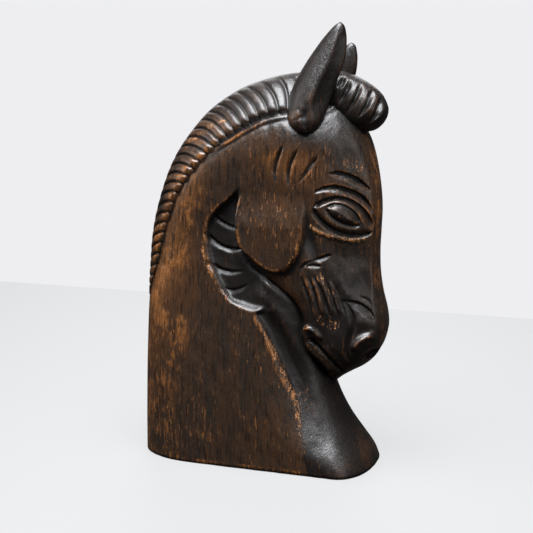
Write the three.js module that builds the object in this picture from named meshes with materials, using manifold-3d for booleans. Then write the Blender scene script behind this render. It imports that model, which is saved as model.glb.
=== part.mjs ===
// A horse's head and neck carved from one plank of wood, standing on the flat end of its neck.
// The horse looks along +X, +Z is up, and the origin is the middle of the underside.
// Both sides mirror each other about the plane y = 0. Millimetres.
import * as THREE from 'three';
import { mergeVertices } from 'three/addons/utils/BufferGeometryUtils.js';
import Module from 'manifold-3d';

// ---- driving dimensions ----
const plankHalf = 38;          // half the plank's thickness, at the foot
const sectionPower = 2.25;     // how square the rounded ends of the foot are
const cheekStep = 4.2;         // how far the cheek stands above the rest of the head
const tuftDepth = 4.4;         // depth of the hollow behind the cheek
const throatDepth = 4.0;       // depth of the hollow under the jaw
const maneCuts = 27;           // cuts across the mane
const maneCutDepth = 1.7;
const maneLift = 3.2;          // how far the mane stands above the neck
const nearEarTip = 287;
const farEarTip = 275;
const farEarBack = 3.5;        // the far ear grows this much further back
const forelockHalf = 16;       // half the forelock's breadth
const forelockCuts = 6;

// ---- outlines, as x and z of points that a smooth curve passes ----
const crestLine = [[-83, 0], [-82.8, 27], [-81.5, 75], [-79.4, 111], [-75.6, 132], [-71, 160],
  [-61, 190.5], [-54, 204.5], [-45, 217], [-33.5, 229.5], [-19.5, 239.5], [-6, 246],
  [18, 252.5], [38, 254]];
const chestLine = [[78.5, 0], [75.5, 9], [69.5, 19], [61.5, 31], [55, 43], [50.5, 54], [46.5, 68],
  [45, 86], [48, 110], [53, 150], [53, 262]];
const faceLine = [[51, 55], [56, 59], [64, 64], [71, 68], [77.5, 74], [82, 81.5], [84.5, 89],
  [85.5, 96], [84.5, 105], [81.5, 117], [79.5, 130], [79, 144], [79.6, 158], [80, 172],
  [78.6, 188], [75.5, 204], [71.5, 216], [64.5, 228], [54, 242], [38, 254]];
const jawLine = [[4, 262], [2, 215], [-2, 196], [-5, 182], [-7, 169], [-7, 156], [-4, 144],
  [2, 134], [10, 127.5], [18, 121.5], [25, 116], [30.5, 111], [33.8, 105.5], [35.4, 99.5],
  [35.2, 94], [33.8, 89], [35, 84], [39.4, 77.6], [44.4, 71.2], [48, 64], [50, 54], [58, 51],
  [95, 44]];
const cheekFront = [[30, 205], [36, 190], [38, 176], [38.5, 162], [37.5, 152], [34, 142],
  [27.5, 134], [20, 131], [10, 134.5], [2, 141]];
const tuftEdge = [[-4, 185], [-12, 176.5], [-19.7, 170], [-26, 161.2], [-28, 150], [-26, 138],
  [-21.5, 127], [-14, 114.5], [-9, 109.3], [-3, 106.4], [5, 104.6], [14, 105], [22, 107]];
const throatRidge = [[5, 104], [8, 99.5], [12, 92.6], [16.8, 80.5], [23.6, 65.2],
  [30.5, 49.3], [36, 31], [40, 16]];

// ---- sizes that change with height: pairs of height and size ----
const neckSide = [[0, plankHalf], [60, 36.8], [120, 33.6], [150, 32.6], [185, 34], [215, 35], [255, 34]];
const backReach = [[0, 48], [60, 46], [110, 42], [150, 36], [190, 37], [215, 52], [235, 60],
  [255, 62]];
const maneWidth = [[0.33, 3], [0.44, 10.5], [0.51, 13.5], [0.58, 15.8], [0.63, 18.8],
  [0.685, 21], [0.757, 22.6], [0.84, 22], [0.9, 20.4], [1, 20]];
const chestHalf = [[0, plankHalf], [10, 29], [25, 19], [45, 13.5], [110, 11]];
const chestRound = [[0, 18], [10, 15], [25, 10], [45, 8], [110, 8]];
const chestReach = [[0, 20], [10, 26], [25, 36], [45, 40], [110, 40]];
const headSide = [[50, 17], [62, 20], [75, 23.5], [90, 25.5], [105, 28], [120, 30.5], [140, 32.5],
  [165, 33], [190, 34.5], [215, 35], [255, 34]];
const faceHalf = [[50, 9], [62, 11], [75, 13.5], [90, 13.5], [105, 11.5], [125, 9.5], [175, 9],
  [195, 10], [210, 12], [225, 13], [255, 12]];
const faceRound = [[50, 8], [75, 9], [90, 8], [105, 5.5], [125, 4], [175, 4], [195, 5.5],
  [210, 8], [225, 10], [255, 12]];
const faceReach = [[50, 22], [75, 30], [90, 38], [120, 42], [165, 47], [200, 44], [215, 36],
  [235, 30], [255, 28]];

const clamp = (t) => Math.min(1, Math.max(0, t));
const ease = (a, b, t) => {
  const u = clamp((t - a) / (b - a));
  return u * u * (3 - 2 * u);
};
// Quarter of a rounded corner: 0 at the edge, 1 from the end of the rounding on.
const rounded = (t, power = 2) => (1 - (1 - clamp(t)) ** power) ** (1 / power);

function smoothLine(points, count) {
  const curve = new THREE.CatmullRomCurve3(
    points.map(([x, z]) => new THREE.Vector3(x, 0, z)), false, 'centripetal');
  return curve.getPoints(count).map((p) => [p.x, p.z]);
}

// Value at a place along pairs that rise in their first number.
function between(pairs, at, from = 0, take = 1) {
  let i = 1;
  while (i < pairs.length - 1 && pairs[i][from] < at) i += 1;
  const [p, q] = [pairs[i - 1], pairs[i]];
  return p[take] + (q[take] - p[take]) * clamp((at - p[from]) / (q[from] - p[from]));
}

// Distance from a point to a line, positive on its left, and the share of the line passed.
function fromLine(line, x, z) {
  let best = [1e9, 0];
  for (let i = 1; i < line.length; i += 1) {
    const [ax, az] = line[i - 1];
    const [dx, dz] = [line[i][0] - ax, line[i][1] - az];
    const t = clamp(((x - ax) * dx + (z - az) * dz) / (dx * dx + dz * dz));
    const [px, pz] = [x - ax - t * dx, z - az - t * dz];
    const far = Math.hypot(px, pz);
    if (far < Math.abs(best[0])) {
      best = [far * (dx * pz - dz * px < 0 ? -1 : 1), (i - 1 + t) / (line.length - 1)];
    }
  }
  return best;
}

const crest = smoothLine(crestLine, 120);
const chest = smoothLine(chestLine, 60);
const face = smoothLine(faceLine, 120);
const jaw = smoothLine(jawLine, 100);
const cheek = smoothLine(cheekFront, 60);
const tuft = smoothLine(tuftEdge, 70);
const ridge = smoothLine(throatRidge, 50);
const tall = (pairs) => smoothLine(pairs.map(([z, v]) => [v, z]), 80);
const sizes = Object.fromEntries(Object.entries({ neckSide, backReach, maneWidth, chestHalf, chestRound,
  chestReach, headSide, faceHalf, faceRound, faceReach }).map(([k, v]) => [k, tall(v)]));
const size = (name, z) => between(sizes[name], z, 1, 0);

// A groove or swelling along a line, with ends that fade.
function alongLine(line, x, z, width) {
  const [far, share] = fromLine(line, x, z);
  const fade = Math.min(1, share * 5, (1 - share) * 5);
  return fade * Math.exp(-((far / width) ** 2));
}

const spot = (x, z, cx, cz, rx, rz) => Math.exp(-(((x - cx) / rx) ** 2) - ((z - cz) / rz) ** 2);

const mouth = smoothLine([[37, 95], [38, 90], [43, 85], [49, 79], [55, 72], [61, 66]], 30);
const brow = smoothLine([[42, 181], [50, 184], [62, 184], [71, 182], [77, 176], [82, 168]], 30);
const upperBrow = smoothLine([[51, 194], [58, 193], [68, 191], [78, 187]], 20);
const underEye = smoothLine([[41, 161], [46, 156], [54, 154], [66, 153.5], [78, 155]], 30);
const muzzleFold = smoothLine([[44, 132], [47, 120], [51, 109], [56, 101]], 20);

// Half the carving's thickness at x and z.
function halfThickness(x, z) {
  const backFar = Math.abs(fromLine(crest, x, z)[0]);
  const back = rounded(backFar / size('backReach', z), sectionPower);
  const chestFar = Math.max(0, fromLine(chest, x, z)[0]);
  const faceFar = Math.max(0, fromLine(face, x, z)[0]);

  const neckFull = size('neckSide', z);
  const chestWide = size('chestHalf', z);
  let neck = chestWide * rounded(chestFar / size('chestRound', z), sectionPower)
    + (neckFull - chestWide) * (1 - (1 - clamp(chestFar / size('chestReach', z))) ** 1.6);
  const [ridgeFar, ridgeShare] = fromLine(ridge, x, z);
  neck -= throatDepth * ease(-0.5, 4.5, ridgeFar) * (1 - ease(6, 17, ridgeFar))
    * ease(0, 0.12, ridgeShare) * (1 - ease(0.55, 1, ridgeShare));
  const [tuftFar, tuftShare] = fromLine(tuft, x, z);
  neck -= tuftDepth * ease(-1.5, 3.5, tuftFar) * (1 - ease(0.8, 1, tuftShare))
    * ease(0, 0.12, tuftShare);

  const headFull = size('headSide', z);
  const faceWide = size('faceHalf', z);
  let head = faceWide * rounded(faceFar / size('faceRound', z))
    + (headFull - faceWide) * (1 - (1 - clamp(faceFar / size('faceReach', z))) ** 1.45);
  head += cheekStep * ease(-2.5, 0.5, -fromLine(cheek, x, z)[0]) * ease(182, 158, z);
  const inward = ease(0, 5, faceFar);
  head += inward * (2.6 * spot(x, z, 62, 167, 15, 9) - 2.4 * alongLine(brow, x, z, 3)
    - 1.6 * alongLine(upperBrow, x, z, 2.6) - 2.0 * alongLine(underEye, x, z, 2.6)
    - 1.5 * alongLine(muzzleFold, x, z, 3) - 2.4 * spot(x, z, 68, 137, 13, 12)
    + 3.2 * spot(x, z, 72, 89, 9, 8) - 3.0 * spot(x, z, 77, 80, 4.5, 3.2)
    + 1.6 * spot(x, z, 47, 92, 8, 12) - 3.2 * alongLine(mouth, x, z, 2.1));

  // The jaw is a step, and above the cheek the head flows into the neck.
  const soft = 1.8 + 16 * ease(170, 200, z);
  const inHead = ease(-soft, soft, fromLine(jaw, x, z)[0]);
  const side = (neck + (head - neck) * inHead) * back;
  return Math.max(side, 0.4);
}

function solidFrom(positions, triangles) {
  const geometry = new THREE.BufferGeometry();
  geometry.setAttribute('position', new THREE.Float32BufferAttribute(positions, 3));
  geometry.setIndex(triangles);
  return geometry;
}

// Rings of points, each ring closed, capped with a fan at both ends.
function ringsSolid(rings) {
  const count = rings[0].length;
  const positions = rings.flat(2);
  const triangles = [];
  const apart = (p, q) => Math.hypot(p[0] - q[0], 1.6 * (p[1] - q[1]), p[2] - q[2]);
  for (let r = 0; r + 1 < rings.length; r += 1) {
    for (let i = 0; i < count; i += 1) {
      const next = (i + 1) % count;
      const [a, b] = [r * count + i, r * count + next];
      // Each four-cornered patch is split along its shorter diagonal.
      if (apart(rings[r][i], rings[r + 1][next]) < apart(rings[r][next], rings[r + 1][i])) {
        triangles.push(a, b, b + count, a, b + count, a + count);
      } else triangles.push(a, b, a + count, b, b + count, a + count);
    }
  }
  for (const r of [0, rings.length - 1]) {
    const middle = positions.length / 3;
    const mean = [0, 1, 2].map((k) => rings[r].reduce((sum, p) => sum + p[k], 0) / count);
    positions.push(...mean);
    for (let i = 0; i < count; i += 1) {
      const [a, b] = [r * count + i, r * count + ((i + 1) % count)];
      if (r === 0) triangles.push(middle, b, a);
      else triangles.push(middle, a, b);
    }
  }
  return solidFrom(positions, triangles);
}

// ---- the body: level rings from the foot to the poll ----
const bodyHeights = [0, 6, 13, 21, 30, 39, 47, 53];
for (let z = 55; z < 60; z += 1.7) bodyHeights.push(z);
for (let z = 61; z < 99; z += 3.6) bodyHeights.push(z);
for (let z = 100; z < 140; z += 3.2) bodyHeights.push(z);
for (let z = 142; z < 198; z += 3.8) bodyHeights.push(z);
for (let z = 201; z < 238; z += 5) bodyHeights.push(z);
bodyHeights.push(241, 245.5, 249, 252);
const backColumns = 6;
const middleColumns = 12;
const frontColumns = 8;

// Columns gather at the crest and at the face, and are even between them.
function bodyRing(z) {
  const [from, to] = [between(crest, z, 1, 0), z < 54.5
    ? between(chest, z, 1, 0) : between(face, z, 1, 0)];
  const [first, second] = [from + 0.27 * (to - from), from + 0.76 * (to - from)];
  const across = [];
  for (let i = 0; i < backColumns; i += 1) {
    across.push(from + (first - from) * (1 - Math.cos((i / backColumns) * Math.PI / 2)));
  }
  for (let i = 0; i < middleColumns; i += 1) {
    across.push(first + (second - first) * (i / middleColumns));
  }
  for (let i = 0; i <= frontColumns; i += 1) {
    across.push(second + (to - second) * Math.sin((i / frontColumns) * Math.PI / 2));
  }
  const near = across.map((x) => [x, x === from || x === to ? 0 : -halfThickness(x, z), z]);
  const far = near.slice(1, -1).reverse().map(([x, y]) => [x, -y, z]);
  return [...near, ...far];
}

// ---- the mane: a band over the crest, cut across ----
const maneStart = 0.33;        // share of the crest where the mane begins
const maneColumns = [0, 0.25, 0.5, 0.75, 0.96, 1.04];   // from the crest to the border

function maneRings() {
  const rings = [];
  const steps = [0, 0.18, 0.74];
  const curve = new THREE.CatmullRomCurve3(
    crestLine.map(([x, z]) => new THREE.Vector3(x, 0, z)), false, 'centripetal');
  const total = maneCuts * steps.length;
  for (let i = 0; i <= total; i += 1) {
    const kind = i % steps.length;
    const along = maneStart + (0.999 - maneStart)
      * ((Math.floor(i / steps.length) + steps[kind]) / maneCuts);
    const lift = maneLift * ease(maneStart - 0.03, 0.46, along);
    const low = kind === 0 ? Math.min(maneCutDepth, lift) : kind === 2 ? 0.4 : 0;
    const place = (across, deeper) => {
      // The cuts bow towards the poll half way between the crest and the border.
      const bow = 0.055 * across * (1 - Math.min(1, across)) * ease(maneStart, 0.6, along);
      const at = Math.min(0.9995, along + bow);
      const [middle, run] = [curve.getPointAt(at), curve.getTangentAt(at)];
      const depth = deeper + size('maneWidth', at) * (1 - Math.cos(across * Math.PI / 2));
      return [middle.x + run.z * depth, middle.z - run.x * depth, run];
    };
    const half = maneColumns.map((across, k) => {
      const [x, z, run] = place(across, 0.3);
      const rise = k === maneColumns.length - 1 ? -1.2 : lift - low;
      const lean = Math.min(1, across * 1.1) * Math.PI / 3;
      const out = k === 0 ? 0 : halfThickness(x, z) + rise * Math.sin(lean);
      return [x - run.z * rise * Math.cos(lean), -out, z + run.x * rise * Math.cos(lean)];
    });
    const [x, z] = place(0.9, 6);
    const side = half.slice(1);
    const other = side.map(([px, py, pz]) => [px, -py, pz]).reverse();
    rings.push([half[0], ...side, [x, 0, z], ...other]);
  }
  return rings;
}

// ---- the forelock: a roll that springs forward between the ears ----
function forelockRings() {
  const curve = new THREE.CatmullRomCurve3([[34, 240], [48, 243], [60, 239], [69.5, 232],
    [77.5, 222]].map(([x, z]) => new THREE.Vector3(x, 0, z)), false, 'centripetal');
  const rings = [];
  const total = forelockCuts * 3;
  for (let i = 0; i <= total; i += 1) {
    const t = 1 - (1 - i / total) ** 1.15;
    const middle = curve.getPointAt(Math.min(t, 0.999));
    const run = curve.getTangentAt(Math.min(t, 0.999));
    const end = Math.sqrt(Math.max(0.02, 1 - clamp((t - 0.66) / 0.34) ** 2.2));
    const low = i % 3 === 0 && i > 2 && i < total ? 1.3 : 0;
    const ring = [];
    for (let k = 0; k < 14; k += 1) {
      const angle = (k / 14) * 2 * Math.PI;
      const flat = (v) => Math.sign(v) * Math.abs(v) ** 0.85;
      const up = (14.5 * end - low) * flat(Math.sin(angle));
      const out = (forelockHalf * end - low) * flat(Math.cos(angle));
      ring.push([middle.x - run.z * up, out, middle.z + run.x * up]);
    }
    rings.push(ring);
  }
  return rings;
}

// ---- the ears: leaves with a ridge down the outside and a hollow front ----
const earBack = [[218, 34], [222, 27.5], [231, 23.5], [240, 24.5], [251, 29], [261, 34.5],
  [270, 40.5], [279, 47.5], [285, 53.5], [287, 56.5]];
const earFront = [[218, 37], [222, 42], [231, 48.5], [240, 52], [251, 56], [261, 59.8],
  [270, 61.3], [279, 61.2], [285, 59.6], [287, 57.5]];
const earOut = [[218, 5], [222, 8], [231, 10], [245, 9.5], [260, 8], [275, 5.5], [285, 2.6],
  [287, 1]];
const earCentre = [[218, 27], [230, 25.5], [245, 24], [265, 21], [287, 19]];

function earRings(side, tip) {
  const rings = [];
  const squeeze = (tip - 218) / (nearEarTip - 218);
  const names = [earBack, earFront, earOut, earCentre].map(tall);
  for (const z of [218, 220, 224, 230, 238, 247, 256, 265, 273, 280, 284.5, 287]) {
    const [back, front, out, centre] = names.map((line) => between(line, z, 1, 0));
    const middle = (back + front) / 2;
    const ring = [];
    for (let k = 0; k < 12; k += 1) {
      const angle = (k / 12) * 2 * Math.PI;
      let [x, y] = [Math.cos(angle), Math.sin(angle)];
      // The ridge is at the outer front, and the face in front of it is hollowed.
      if (k === 2) [x, y] = [x * 1.05, y * 1.08];
      if (k === 1) [x, y] = [x * 0.86, y * 0.7];
      ring.push([middle + (front - back) / 2 * x - (side > 0 ? farEarBack : 0), side * (centre + out * y),
        218 + (z - 218) * squeeze]);
    }
    rings.push(side > 0 ? ring : ring.reverse());
  }
  return rings;
}

// ---- one carving: every form is joined into one solid ----
const wasm = await Module();
wasm.setup();

function toSolid(geometry) {
  geometry.deleteAttribute('normal');
  geometry.deleteAttribute('uv');
  const merged = mergeVertices(geometry, 1e-4);
  return new wasm.Manifold(new wasm.Mesh({
    numProp: 3,
    vertProperties: new Float32Array(merged.attributes.position.array),
    triVerts: new Uint32Array(merged.index.array),
  }));
}

let carving = toSolid(ringsSolid(bodyHeights.map(bodyRing)));
for (const rings of [maneRings(), forelockRings(), earRings(-1, nearEarTip),
  earRings(1, farEarTip)]) {
  carving = carving.add(toSolid(ringsSolid(rings)));
}
const joined = carving.getMesh();
const geometry = solidFrom(Array.from(joined.vertProperties), Array.from(joined.triVerts));
geometry.computeVertexNormals();

const stainedWood = new THREE.MeshStandardMaterial({ color: 0x3a2418, roughness: 0.42,
  metalness: 0 });
const horseHead = new THREE.Mesh(geometry, stainedWood);
horseHead.name = 'horse_head';

const sculpture = new THREE.Group();
sculpture.add(horseHead);
export default sculpture;
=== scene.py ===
import math

import bpy
import numpy as np
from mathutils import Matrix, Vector


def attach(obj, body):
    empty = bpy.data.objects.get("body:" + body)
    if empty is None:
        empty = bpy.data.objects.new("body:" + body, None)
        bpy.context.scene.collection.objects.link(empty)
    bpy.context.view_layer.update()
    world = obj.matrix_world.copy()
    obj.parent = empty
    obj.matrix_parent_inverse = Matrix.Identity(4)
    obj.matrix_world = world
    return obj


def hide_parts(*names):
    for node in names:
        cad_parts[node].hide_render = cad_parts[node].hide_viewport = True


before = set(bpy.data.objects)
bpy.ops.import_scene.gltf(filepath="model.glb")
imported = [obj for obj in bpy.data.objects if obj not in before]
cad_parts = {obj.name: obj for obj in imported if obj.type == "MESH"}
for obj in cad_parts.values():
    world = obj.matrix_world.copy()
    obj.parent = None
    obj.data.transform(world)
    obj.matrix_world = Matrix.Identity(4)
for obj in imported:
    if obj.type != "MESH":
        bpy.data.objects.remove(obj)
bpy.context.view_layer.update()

# A carved wooden horse's head. Lengths are millimetres until a mesh is made, then metres.
# The horse looks along +X, its right side is towards -Y, and both sides are carved
# alike, apart from the ears.
toMetres = 0.001

bodyForm = {
    "sectionPower": 2.25,      # how square the rounded ends of the foot are
    "neckFall": 1.6,           # power of the neck's fall towards the chest
    "headPower": 2.3,          # how square the rounding of the face is
    "headFall": 1.45,          # power of the head's fall towards the face
    "chinHeight": 54.5,        # below it the front edge is the chest
    "cheekStep": 4.2,          # how far the cheek stands above the muzzle
    "jawRoll": (1.5, 5.1),     # drop of the rolled edge behind the cheek and under it
    "jawRollWidth": (1.2, 7.0),
    "tuftDepth": 4.4,          # hollow behind the cheek
    "throatDepth": 4.0,        # hollow under the jaw
    "crest": [(-83, 0), (-82.8, 27), (-81.5, 75), (-79.4, 111), (-75.6, 132), (-71, 160),
              (-61, 190.5), (-54, 204.5), (-45, 217), (-33.5, 229.5), (-19.5, 239.5),
              (-6, 246), (18, 252.5), (38, 254)],
    "chest": [(78.5, 0), (75.5, 9), (69.5, 19), (61.5, 31), (55, 43), (50.5, 54), (46.5, 68),
              (45, 86), (48, 110), (53, 150), (53, 262)],
    "face": [(51, 55), (56, 59), (64, 64), (71, 68), (77.5, 74), (82, 81.5), (84.5, 89),
             (85.5, 96), (84.5, 105), (81.5, 117), (79.5, 130), (79, 144), (79.6, 158),
             (80, 172), (78.6, 188), (75.5, 204), (71.5, 216), (64.5, 228), (54, 242),
             (38, 254)],
    "jaw": [(4, 262), (2, 215), (-2, 196), (-5, 182), (-7, 169), (-7, 156), (-4, 144),
            (2, 134), (10, 127.5), (18, 121.5), (25, 116), (30.5, 111), (33.8, 105.5),
            (35.4, 99.5), (35.2, 94), (33.8, 89), (35, 84), (39.4, 77.6), (44.4, 71.2),
            (48, 64), (50, 54), (58, 51), (95, 44)],
    "cheek": [(30, 205), (36, 190), (38, 176), (38.5, 162), (37.5, 152), (34, 142),
              (27.5, 134), (20, 131), (10, 134.5), (2, 141)],
    "tuft": [(-4, 185), (-12, 176.5), (-19.7, 170), (-26, 161.2), (-28, 150), (-26, 138),
             (-21.5, 127), (-14, 114.5), (-9, 109.3), (-3, 106.4), (5, 104.6), (14, 105),
             (22, 107)],
    "throat": [(5, 104), (8, 99.5), (12, 92.6), (16.8, 80.5), (23.6, 65.2), (30.5, 49.3),
               (36, 31), (40, 16)],
}

# Sizes that change with height, as pairs of height and size.
bodySizes = {
    "neckSide": [(0, 38), (60, 36.8), (120, 33.6), (150, 32.6), (185, 34), (215, 35), (255, 34)],
    "backReach": [(0, 48), (60, 46), (110, 42), (150, 36), (190, 37), (215, 52), (235, 60),
                  (255, 62)],
    "chestHalf": [(0, 38), (10, 29), (25, 19), (45, 13.5), (110, 11), (255, 11)],
    "chestRound": [(0, 18), (10, 15), (25, 10), (45, 8), (110, 8), (255, 8)],
    "chestReach": [(0, 20), (10, 26), (25, 36), (45, 40), (110, 40), (255, 40)],
    "headSide": [(50, 17), (62, 20), (75, 23.5), (90, 25.5), (105, 28), (120, 30.5),
                 (140, 32), (165, 32.4), (190, 34.5), (215, 35), (255, 34)],
    "faceHalf": [(50, 9), (62, 11), (75, 13.5), (90, 13.5), (105, 11.5), (125, 9.5),
                 (175, 9), (195, 10), (210, 12), (225, 13), (255, 12)],
    "faceRound": [(50, 8), (75, 9), (90, 8), (105, 5.5), (125, 4), (175, 4), (195, 5.5),
                  (210, 8), (225, 10), (255, 12)],
    "faceReach": [(50, 22), (75, 30), (90, 38), (120, 42), (165, 47), (200, 44), (215, 36),
                  (235, 30), (255, 28)],
}


# Smooth line through points: each span is a cubic whose end slopes come from its neighbours,
# with the points spaced by the square root of their distance.
def smoothLine(points, count=100):
    p = np.array(points, float)
    p = np.vstack([2 * p[0] - p[1], p, 2 * p[-1] - p[-2]])
    gaps = np.sqrt(np.linalg.norm(np.diff(p, axis=0), axis=1))
    place = np.linspace(0, len(points) - 1, count + 1)
    i = np.minimum(place.astype(int), len(points) - 2)
    u = (place - i)[:, None]
    before, here, after = (gaps[i + k][:, None] for k in range(3))
    a, b, c, d = (p[i + k] for k in range(4))
    slopeB = here * ((b - a) / before - (c - a) / (before + here) + (c - b) / here)
    slopeC = here * ((c - b) / here - (d - b) / (here + after) + (d - c) / after)
    return ((1 + 2 * u) * (1 - u) ** 2 * b + u * (1 - u) ** 2 * slopeB
            + u * u * (3 - 2 * u) * c + u * u * (u - 1) * slopeC)


# Eased step: 0 up to a, 1 from b on, and a smooth cubic between them.
def ease(a, b, t):
    u = np.clip((t - a) / (b - a), 0, 1)
    return u * u * (3 - 2 * u)


# Rounded corner: 0 at the edge, 1 from the end of the rounding on, a quarter of an oval between.
def rounded(t, power=2.0):
    return np.maximum(0, 1 - (1 - np.clip(t, 0, 1)) ** power) ** (1 / power)


sizeLines = {name: smoothLine([(v, z) for z, v in pairs], 80)
             for name, pairs in bodySizes.items()}


def sizeAt(name, z):
    line = sizeLines[name]
    return np.interp(z, line[:, 1], line[:, 0])


farAway = 1e6                  # the distance given to points beyond a line's reach


# Signed distance from points to a line, positive on its left, and the share of its length passed.
def fromLine(line, x, z, reach=1e9):
    far = np.full(x.shape, farAway)
    share = np.zeros(x.shape)
    low, high = line.min(0) - reach, line.max(0) + reach
    near = (x > low[0]) & (x < high[0]) & (z > low[1]) & (z < high[1])
    if not near.any():
        return far, share
    px, pz = x[near], z[near]
    best, side, part = np.full(px.shape, farAway), np.ones(px.shape), np.zeros(px.shape)
    for j in range(len(line) - 1):
        ax, az = line[j]
        dx, dz = line[j + 1] - line[j]
        t = np.clip(((px - ax) * dx + (pz - az) * dz) / (dx * dx + dz * dz), 0, 1)
        qx, qz = px - ax - t * dx, pz - az - t * dz
        gap = np.hypot(qx, qz)
        closer = gap < best
        best = np.where(closer, gap, best)
        side = np.where(closer, np.where(dx * qz - dz * qx < 0, -1.0, 1.0), side)
        part = np.where(closer, (j + t) / (len(line) - 1), part)
    far[near], share[near] = best * side, part
    return far, share


# A gouge cut: deepest on the line, with one straight wall to each side and tapered ends.
def gouge(x, z, points, depth, left, right, taper=0.2, power=1.0):
    line = smoothLine(points, 36)
    far, share = fromLine(line, x, z, max(left, right) + 1)
    end = np.clip(np.minimum(share, 1 - share) / taper, 0, 1) ** 0.6
    end = np.maximum(end, 0.001)
    wall = np.where(far > 0, 1 - far / (left * end), 1 + far / (right * end))
    return depth * end * np.clip(wall, 0, 1) ** power


# A smooth swelling or hollow: a bell curve of the distance from a line, fading at its ends.
def swell(x, z, points, height, width, taper=0.25):
    far, share = fromLine(smoothLine(points, 30), x, z, 3 * width)
    end = ease(0, taper, np.minimum(share, 1 - share))
    return height * end * np.exp(-(far / width) ** 2)


# A round place: a bell curve of the distance from a centre, with two radii and a turn.
def spot(x, z, cx, cz, rx, rz, turn=0.0):
    c, s = math.cos(math.radians(turn)), math.sin(math.radians(turn))
    u, v = (x - cx) * c + (z - cz) * s, (z - cz) * c - (x - cx) * s
    return np.exp(-(u / rx) ** 2 - (v / rz) ** 2)


toolMarks = {"depth": 0.22, "across": 4.2, "along": 8.5, "seed": 7}


# Shallow facets of the carver's knife: random heights on a lattice, eased from one to the next.
def facets(x, z):
    t = toolMarks
    heights = np.random.default_rng(t["seed"]).random((64, 64)) - 0.5
    u, v = (x + 0.35 * z) / t["across"] + 32, z / t["along"] + 8
    i, j = np.floor(u).astype(int), np.floor(v).astype(int)
    a, b = ease(0.1, 0.9, u - i), ease(0.1, 0.9, v - j)
    at = lambda p, q: heights[(i + p) % 64, (j + q) % 64]
    return t["depth"] * 2 * ((1 - a) * ((1 - b) * at(0, 0) + b * at(0, 1))
                             + a * ((1 - b) * at(1, 0) + b * at(1, 1)))


lines = {name: smoothLine(bodyForm[name], 120)
         for name in ("crest", "chest", "face", "jaw", "cheek", "tuft", "throat")}

eyeForm = {
    "cuts": [                  # points, depth, and the widths of the walls above and below
        ([(43.8, 173.2), (47, 176), (52.5, 178.4), (58.7, 178.9), (65.6, 176.5),
          (71.7, 171.4), (75.5, 165.1), (77.8, 157.2)], 3.0, 1.2, 2.6),
        ([(43.8, 173.2), (46.1, 167.6), (50.8, 162.3), (57.1, 157.8), (64.1, 155.3),
          (71, 155), (77.8, 157)], 2.8, 1.4, 2.2),
        ([(51.7, 173.1), (55.6, 175.2), (60.5, 174.7), (65.6, 171.6), (69.1, 167.1),
          (71.2, 162.1)], 2.2, 0.9, 1.9),
        ([(51.7, 173.1), (53.7, 168.9), (57.9, 164.8), (63.3, 162), (67.9, 161),
          (71.2, 162.1)], 2.0, 1.1, 1.4),
    ],
    "lidRise": 1.3,
    "ballRise": 1.7,
    "pupil": (61, 167.4),
    "pupilTall": 1.15,         # how much shorter than wide the pupil is
    "pitDepth": 0.8,
    "pitRadius": 1.0,
    "ringDepth": 0.35,
    "ringRadius": 2.6,
    "ringWidth": 0.5,
}


# The eye: cuts round the lids and round the ball, a raised ring, and a domed ball with a pit.
def eyeRelief(x, z):
    f = eyeForm
    depth = np.zeros(x.shape)
    ways = []
    for points, deep, above, below in f["cuts"]:
        depth = np.maximum(depth, gouge(x, z, points, deep, above, below, taper=0.1))
        ways.append(fromLine(smoothLine(points, 36), x, z, 12)[0])
    ring, ball = np.minimum(-ways[0], ways[1]), np.minimum(-ways[2], ways[3])
    relief = np.where(ways[1] < farAway, f["lidRise"] * ease(1.0, 3.5, ring), 0) - depth
    relief += np.where(ways[3] < farAway, f["ballRise"] * ease(0.6, 4.5, ball), 0)
    px, pz = f["pupil"]
    radius = np.hypot(x - px, (z - pz) * f["pupilTall"])
    pit = f["pitDepth"] * np.exp(-(radius / f["pitRadius"]) ** 2)
    return relief - pit - f["ringDepth"] * np.exp(-((radius - f["ringRadius"])
                                                    / f["ringWidth"]) ** 2)


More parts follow.
